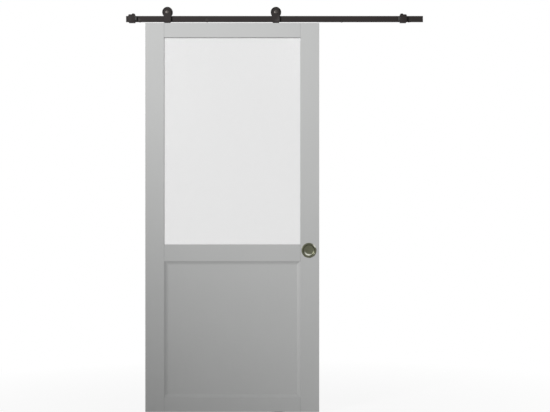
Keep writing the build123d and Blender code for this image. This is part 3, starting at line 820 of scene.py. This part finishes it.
class DOOR_OT_wheels(bpy.types.Operator):
    """Turn the two grooved wheels"""

    bl_idname = "door.wheels"
    bl_label = "Make the wheels"

    def execute(self, context):
        sizes = hardware()
        nylon = moulded_nylon("wheel_nylon_skin", sizes.wheel_colour)
        edge = 0.0012
        small = 0.0006
        rim_width = 0.0045
        shoulder = sizes.bearing_radius - 0.002
        bearing_front = 0.004
        for side in LEFT_AND_RIGHT:
            node = f"{side}_wheel"
            low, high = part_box(node)
            centre = middle(node)
            face = (high.y - low.y) / 2
            rim = (high.x - low.x) / 2
            rim_inner = rim - rim_width
            half = [
                (sizes.hub_radius, face, small),
                (sizes.hub_radius, face - sizes.web_depth, small),
                (rim_inner, face - sizes.web_depth, small),
                (rim_inner, face, small),
                (rim, face, edge),
                (rim, sizes.groove_mouth, edge),
                (sizes.tread_radius, sizes.groove_floor, small),
            ]
            section = [
                (sizes.bearing_radius, -face),
                *((radius, -depth, rounding) for radius, depth, rounding in half),
                *reversed(half),
                (shoulder, face),
                (shoulder, bearing_front),
                (sizes.bearing_radius, bearing_front),
            ]
            section = [(radius, depth - centre.y, *rounding) for radius, depth, *rounding in section]
            finish_piece(turned(node, section, centre, steps=96), node, nylon)
        return {"FINISHED"}


class DOOR_OT_bearings(bpy.types.Operator):
    """Dress the ball bearings inside the wheels"""

    bl_idname = "door.bearings"
    bl_label = "Dress the bearings"

    def execute(self, context):
        sizes = hardware()
        steel = ground_metal("bearing_steel_ground", sizes.bearing_colour, 0.2)
        brass = ground_metal("cage_brass_turned", sizes.brass, 0.3)
        for side in LEFT_AND_RIGHT:
            dress_nodes([f"{side}_bearing_{piece}" for piece in ("inner", "outer", "balls")], steel)
            dress_nodes([f"{side}_bearing_cage"], brass)
        return {"FINISHED"}


class DOOR_OT_axles(bpy.types.Operator):
    """Make the axle bolts, their spacers, washers and locking nuts"""

    bl_idname = "door.axles"
    bl_label = "Make the axles"

    def execute(self, context):
        steel = browned_steel("axle_steel_browned", hardware().axle_colour)
        axles = [middle(f"{side}_axle_bolt") for side in LEFT_AND_RIGHT]
        for side, axle in zip(LEFT_AND_RIGHT, axles):
            self.bolt(side, axle, steel)
            spacer = f"{side}_axle_spacer"
            finish_piece(self.sleeve(spacer, middle(spacer), across=0, edge=0.0004), spacer, steel)
        washers = [self.sleeve("axle_washers", axle, across=2, edge=0.0003) for axle in axles]
        finish_piece(joined(washers), "axle_washers", steel)
        self.nuts(axles, steel)
        return {"FINISHED"}

    def bolt(self, side, axle, steel):
        """Turn a bolt with a domed head and cut its six-sided socket."""
        node = f"{side}_axle_bolt"
        low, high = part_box(node)
        radius = (high.x - low.x) / 2
        shank = hardware().bolt_radius
        tip = 0.001
        rim_edge = 0.0003
        rim_height = 0.0012
        dome_steps = 8
        socket = 0.006
        socket_depth = 0.0027
        under_head = -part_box(f"{side}_hanger_strap")[0].y
        crown = -low.y
        rise = crown - under_head - rim_height
        turns = [math.pi / 2 * step / dome_steps for step in range(dome_steps, 0, -1)]
        section = [
            (0, -high.y),
            (shank - tip, -high.y),
            (shank, -high.y + tip),
            (shank, under_head),
            (radius - rim_edge, under_head),
            (radius, under_head + rim_edge),
            *((radius * math.sin(turn), under_head + rim_height + rise * math.cos(turn)) for turn in turns),
            (0, crown),
        ]
        bolt = turned(node, section, axle, steps=64)
        cut(bolt, six_sided("socket", axle, socket, -crown - CLEAR, -crown + socket_depth))
        finish_piece(bolt, node, steel, smooth=30.0)

    def sleeve(self, node, axle, across, edge):
        """A plain ring on an axle, as deep as its node and as wide as the node is along one axis."""
        low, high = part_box(node)
        radius = (high - low)[across] / 2
        bore = hardware().bolt_radius
        section = [(bore, -high.y), (radius, -high.y, edge), (radius, -low.y, edge), (bore, -low.y)]
        return turned(node, section, axle)

    def nuts(self, axles, steel):
        """Make six-sided nuts, each with the round collar that holds its locking ring."""
        low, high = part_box("axle_nuts")
        bore = hardware().bolt_radius
        collar = 0.0066
        collar_start = high.y - 0.002
        pieces = []
        section = [
            (bore, -collar_start - CLOSE),
            (collar, -collar_start - CLOSE),
            (collar, -high.y, 0.0006),
            (bore, -high.y, 0.0004),
        ]
        for axle in axles:
            nut = six_sided("nut", axle, high.z - low.z, low.y, collar_start)
            start_editing(nut)
            pick(nut, lambda place: abs(place.y - low.y) < CLOSE)
            bpy.ops.mesh.bevel(offset=hardware().edge, segments=2)
            settle(nut)
            ring = turned("collar", section, axle, steps=48)
            ends = [Vector((axle.x, y, axle.z)) for y in (low.y - CLEAR, collar_start + CLEAR)]
            cut(nut, drum("bore", bore, *ends))
            pieces.extend([nut, ring])
        finish_piece(joined(pieces), "axle_nuts", steel, smooth=35.0)


class DOOR_OT_straps(bpy.types.Operator):
    """Bend the two hanger straps from flat steel and screw them to the leaf"""

    bl_idname = "door.straps"
    bl_label = "Make the hanger straps"

    screw_head = 0.0044

    def execute(self, context):
        coat = powder_coat("strap_coat", hardware().coating)
        for side in LEFT_AND_RIGHT:
            self.strap(side, coat)
        self.foot_screws()
        return {"FINISHED"}

    def strap(self, side, coat):
        """Bend a flat strip round, thicken it, shape its ends and drill it."""
        sizes = hardware()
        node = f"{side}_hanger_strap"
        low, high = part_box(node)
        axle = middle(f"{side}_axle_bolt")
        bend = sizes.strap_bend
        bend_top = low.z + bend
        bend_end = low.y + bend
        front = Vector((axle.x, low.y, axle.z))
        choose()
        bpy.ops.mesh.primitive_circle_add(
            vertices=72, radius=(high.x - low.x) / 2, location=front, rotation=(math.pi / 2, 0, 0)
        )
        strap = added(node)
        start_editing(strap)
        pick(strap, lambda place: place.z < axle.z - CLOSE)
        bpy.ops.mesh.delete(type="VERT")
        pick_all()
        bpy.ops.mesh.edge_face_add()
        pick(strap, lambda place: abs(place.z - axle.z) < CLOSE)
        bpy.ops.mesh.extrude_edges_move(TRANSFORM_OT_translate={"value": (0, 0, bend_top - axle.z)})
        pick(strap, lambda place: abs(place.z - bend_top) < CLOSE)
        bpy.ops.mesh.spin(steps=8, angle=-math.pi / 2, center=(axle.x, bend_end, bend_top), axis=(1, 0, 0))
        pick(strap, lambda place: abs(place.y - bend_end) < CLOSE)
        bpy.ops.mesh.extrude_edges_move(TRANSFORM_OT_translate={"value": (0, high.y - bend_end, 0)})
        close_up(strap)
        if strap.data.polygons[0].normal.y > 0:
            strap.data.flip_normals()
        use_modifier(strap, "SOLIDIFY", thickness=sizes.strap_thickness, offset=-1.0, use_even_offset=True)
        self.round_corners(strap, low, high, bend_end)
        self.narrow_foot(strap, low, high, bend_end)
        cut(strap, drum("axle_hole", sizes.bolt_radius, front + FRONT * 0.01, front - FRONT * 0.01))
        for x, y in self.screw_places(axle.x):
            top = Vector((x, y, low.z + sizes.strap_thickness))
            cut(strap, self.countersink(top, head=0.0046, shank=0.0024))
        soften(strap, sizes.edge, angle=50.0)
        finish_piece(strap, node, coat, smooth=30.0)

    def round_corners(self, strap, low, high, bend_end):
        """Round the lower corners of the upright leg, through the bend."""
        radius = hardware().strap_end_radius
        turns = [math.pi / 16 * step for step in range(9)]
        for side, inward in ((low.x, 1), (high.x, -1)):
            outer = side - inward * CLEAR
            arc = [
                (side + inward * radius * (1 - math.sin(turn)), low.z + radius * (1 - math.cos(turn)))
                for turn in turns
            ]
            points = [(outer, low.z - CLEAR), (arc[0][0], low.z - CLEAR), *arc, (outer, arc[-1][1])]
            corners = [Vector((x, low.y - CLEAR, z)) for x, z in points]
            cut(strap, pushed("corner", corners, Vector((0, bend_end - low.y + CLEAR, 0))))

    def narrow_foot(self, strap, low, high, bend_end):
        """Take the foot's sides in and round its far corners."""
        inset = (high.x - low.x) / 2 - hardware().foot_half_width
        left, right = low.x + inset, high.x - inset
        points = [
            (low.x - CLEAR, bend_end),
            (left, bend_end),
            (left, high.y),
            (right, high.y),
            (right, bend_end),
            (high.x + CLEAR, bend_end),
            (high.x + CLEAR, high.y + CLEAR),
            (low.x - CLEAR, high.y + CLEAR),
        ]
        corners = [Vector((x, y, low.z - CLEAR)) for x, y in points]
        height = hardware().strap_thickness + 2 * CLEAR
        foot_corner = 0.006
        roundings = {2: foot_corner, 3: foot_corner}
        cut(strap, pushed("foot_sides", corners, Vector((0, 0, height)), roundings))

    def screw_places(self, x):
        """Where the four screws stand in a strap's foot, in plan."""
        low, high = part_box("hanger_screws")
        rows = (low.y + self.screw_head, high.y - self.screw_head)
        aside = 0.0085
        return [(x + side, row) for side in (-aside, aside) for row in rows]

    def countersink(self, top, head, shank):
        """A cutter for one countersunk hole that goes down from its top."""
        reach = 0.02
        section = [
            (0, CLEAR),
            (head, CLEAR),
            (head, -SEAT_LAND),
            (shank, shank - head - SEAT_LAND),
            (shank, -reach),
            (0, -reach),
        ]
        cutter = turned("countersink", section, Vector(), steps=40)
        cutter.data.transform(Matrix.Translation(top) @ DEPTH_TO_DOWN)
        return cutter

    def foot_screws(self):
        node = "hanger_screws"
        low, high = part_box(node)
        length = high.z - low.z
        lengths = {"length": length, "plain": length / 2, "head": self.screw_head}
        details = {"shank": 0.002, "thread": 0.0022, "pitch": 0.0016, "socket": 0.003}
        axles = [middle(f"{side}_axle_bolt").x for side in LEFT_AND_RIGHT]
        tops = [Matrix.Translation((x, y, high.z)) for axle in axles for x, y in self.screw_places(axle)]
        places = [top @ DEPTH_TO_DOWN for top in tops]
        screws(node, "hanger_screw_steel", places, **lengths, **details)


class DOOR_OT_stops(bpy.types.Operator):
    """Make the end stops and their rubber bumpers, and dress the grub screws"""

    bl_idname = "door.stops"
    bl_label = "Make the end stops"

    def execute(self, context):
        coat = powder_coat("stop_coat", hardware().coating)
        rubber = soft_rubber("bumper_rubber_moulded", hardware().rubber, 0.55)
        for side, outward in (("left", -1), ("right", 1)):
            self.stop(side, outward, coat)
            self.bumper(side, outward, rubber)
        dress_nodes(["stop_screws"], browned_steel("grub_screw_steel", hardware().screw_colour))
        return {"FINISHED"}

    def stop(self, side, outward, coat):
        """Push the stop's outline through its depth and cut the slot that sits on the bar."""
        node = f"{side}_stop"
        low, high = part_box(node)
        inner, outer = (high.x, low.x) if outward < 0 else (low.x, high.x)
        shoulder = 0.0266
        corner = 0.005
        rib_edge = 0.001
        rib = [inner + outward * 0.0025, inner + outward * 0.0155]
        points = [
            (inner, low.z),
            (inner, shoulder),
            (rib[0], shoulder),
            (rib[0], high.z),
            (rib[1], high.z),
            (rib[1], shoulder),
            (outer, shoulder),
            (outer, low.z),
        ]
        corners = [Vector((x, high.y, z)) for x, z in points]
        roundings = {3: rib_edge, 4: rib_edge, 6: corner, 7: corner}
        stop = pushed(node, corners, Vector((0, low.y - high.y, 0)), roundings)
        rail_low, rail_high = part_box("track_rail")
        play = 0.0002
        reach = 0.01
        front, back = rail_low.y - play, rail_high.y + play
        top, bottom = rail_high.z + play, low.z - reach
        points = [(front, bottom), (front, top), (back, top), (back, bottom)]
        slot = [Vector((low.x - reach, y, z)) for y, z in points]
        cut(stop, pushed("slot", slot, Vector((high.x - low.x + 2 * reach, 0, 0))))
        soften(stop, 0.0007, segments=3, angle=40.0)
        finish_piece(stop, node, coat, smooth=35.0)

    def bumper(self, side, outward, rubber):
        """Make the soft nose on a stop's inner face and the plug that holds it there."""
        node = f"{side}_stop_bumper"
        low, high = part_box(node)
        stop_low, stop_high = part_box(f"{side}_stop")
        face, nose, plug_end = (stop_high.x, high.x, low.x) if outward < 0 else (stop_low.x, low.x, high.x)
        points = [(low.y, low.z), (low.y, high.z), (high.y, high.z), (high.y, low.z)]
        corners = [Vector((face, y, z)) for y, z in points]
        corner = 0.004
        bumper = pushed(node, corners, Vector((nose - face, 0, 0)), dict.fromkeys(range(4), corner))
        start_editing(bumper)
        pick(bumper, lambda place: abs(place.x - nose) < CLOSE)
        bpy.ops.mesh.bevel(offset=0.003, segments=5)
        settle(bumper)
        centre = middle(node)
        ends = [Vector((x, centre.y, centre.z)) for x in (face, plug_end)]
        plug_radius = 0.004
        plug = drum("plug", plug_radius, *ends, sides=32)
        soften(plug, hardware().edge)
        finish_piece(joined([bumper, plug]), node, rubber)


class DOOR_OT_floor_guide(bpy.types.Operator):
    """Coat the floor guide and make its screws"""

    bl_idname = "door.floor_guide"
    bl_label = "Make the floor guide"

    def execute(self, context):
        dress_nodes(["floor_guide"], powder_coat("guide_coat", hardware().coating))
        node = "floor_guide_screws"
        low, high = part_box(node)
        head = 0.0042
        lengths = {"length": high.z - low.z, "plain": 0.003, "head": head}
        details = {"shank": 0.0019, "thread": 0.0021, "pitch": 0.0018, "socket": 0.003}
        across = (low.x + head, high.x - head)
        places = [Matrix.Translation((x, middle(node).y, high.z)) @ DEPTH_TO_DOWN for x in across]
        screws(node, "floor_screw_steel", places, **lengths, **details)
        return {"FINISHED"}


class DOOR_OT_stage(bpy.types.Operator):
    """Set the floor, the light and the camera"""

    bl_idname = "door.stage"
    bl_label = "Set the stage"

    def execute(self, context):
        stage = context.scene.door_stage
        self.floor()
        self.room(stage)
        beam = {"spot_size": stage.key_cone, "spot_blend": 1.0, "shadow_soft_size": stage.key_size}
        self.lamp("key", "SPOT", stage.key_power, stage.key_place, stage.key_aim, **beam)
        self.lamp("back", "AREA", stage.back_power, stage.back_place, stage.back_aim, size=stage.back_size)
        self.camera(stage)
        context.scene.view_settings.view_transform = "Standard"
        return {"FINISHED"}

    def floor(self):
        """A pale floor that is white to the camera and still takes a soft shadow."""
        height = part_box("floor_guide")[0].z
        choose()
        bpy.ops.mesh.primitive_circle_add(vertices=96, radius=30, fill_type="NGON", location=(0, 0, height))
        floor = added("floor")
        near_glow = 0.88
        shadow_ends = (2.15, 3.2)
        finish = Finish("floor_white")
        distance = finish.node("ShaderNodeVectorMath", {"operation": "LENGTH"}, {0: finish.place})
        glow_share = near_glow + finish.remap(distance.outputs["Value"], *shadow_ends) * (1 - near_glow)
        matt = finish.node("ShaderNodeBsdfDiffuse", {}, {"Color": (0.78, 0.78, 0.78)})
        glow = finish.node("ShaderNodeEmission", {}, {"Color": (1, 1, 1), "Strength": 1.0})
        shares = {0: finish.in_view() * glow_share, 1: matt.outputs[0], 2: glow.outputs[0]}
        mix = finish.node("ShaderNodeMixShader", {}, shares)
        finish.feed(finish.tree.nodes["Material Output"].inputs["Surface"], mix.outputs[0])
        finish.tree.nodes.remove(finish.surface)
        dress(floor, finish.material)

    def room(self, stage):
        """White behind the object, and an even grey light on it."""
        world = bpy.data.worlds.new("room")
        bpy.context.scene.world = world
        world.use_nodes = True
        shader = Shader(world.node_tree)
        sockets = shader.tree.nodes["Background"].inputs
        shader.feed(sockets["Color"], (1, 1, 1))
        shader.feed(sockets["Strength"], shader.remap(shader.in_view(), 0.0, 1.0, stage.world_grey, 1.0))

    def lamp(self, name, kind, power, place, target, **settings):
        """A lamp at its place, facing its target."""
        data = bpy.data.lights.new(name, kind)
        data.energy = power
        for key, setting in settings.items():
            setattr(data, key, setting)
        lamp = bpy.data.objects.new(name, data)
        lamp.location = place
        lamp.rotation_euler = (Vector(target) - Vector(place)).to_track_quat("-Z", "Y").to_euler()
        bpy.context.collection.objects.link(lamp)

    def camera(self, stage):
        """A long lens, square to the leaf and level with its middle."""
        data = bpy.data.cameras.new("camera")
        data.lens = stage.lens
        data.clip_end = 200.0
        camera = bpy.data.objects.new("camera", data)
        camera.location = (stage.camera_side, -stage.camera_distance, stage.camera_height)
        camera.rotation_euler = (math.pi / 2, 0, 0)
        bpy.context.collection.objects.link(camera)
        bpy.context.scene.camera = camera


class DOOR_PT_panel(bpy.types.Panel):
    """The steps that make the door, in order"""

    bl_idname = "DOOR_PT_panel"
    bl_label = "Sliding Door"
    bl_space_type = "VIEW_3D"
    bl_region_type = "UI"
    bl_category = "Door"

    def draw(self, context):
        for operator in OPERATORS:
            self.layout.operator(operator.bl_idname)
        for group in (context.scene.door_leaf, context.scene.door_hardware, context.scene.door_stage):
            box = self.layout.box()
            for name in group.bl_rna.properties.keys():
                if name not in ("rna_type", "name"):
                    box.prop(group, name)


OPERATORS = (
    DOOR_OT_paint_leaf,
    DOOR_OT_glaze,
    DOOR_OT_cup_pulls,
    DOOR_OT_track,
    DOOR_OT_wall_screws,
    DOOR_OT_wheels,
    DOOR_OT_bearings,
    DOOR_OT_axles,
    DOOR_OT_straps,
    DOOR_OT_stops,
    DOOR_OT_floor_guide,
    DOOR_OT_stage,
)
GROUPS = {"door_leaf": LeafProperties, "door_hardware": HardwareProperties, "door_stage": StageProperties}


def register():
    for group in GROUPS.values():
        bpy.utils.register_class(group)
    for name, group in GROUPS.items():
        setattr(bpy.types.Scene, name, PointerProperty(type=group))
    for operator in OPERATORS:
        bpy.utils.register_class(operator)
    bpy.utils.register_class(DOOR_PT_panel)


def unregister():
    bpy.utils.unregister_class(DOOR_PT_panel)
    for operator in reversed(OPERATORS):
        bpy.utils.unregister_class(operator)
    for name, group in GROUPS.items():
        delattr(bpy.types.Scene, name)
        bpy.utils.unregister_class(group)


def main():
    """Register the add-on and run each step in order."""
    register()
    for operator in OPERATORS:
        group, step = operator.bl_idname.split(".")
        getattr(getattr(bpy.ops, group), step)()


if __name__ == "__main__":
    main()
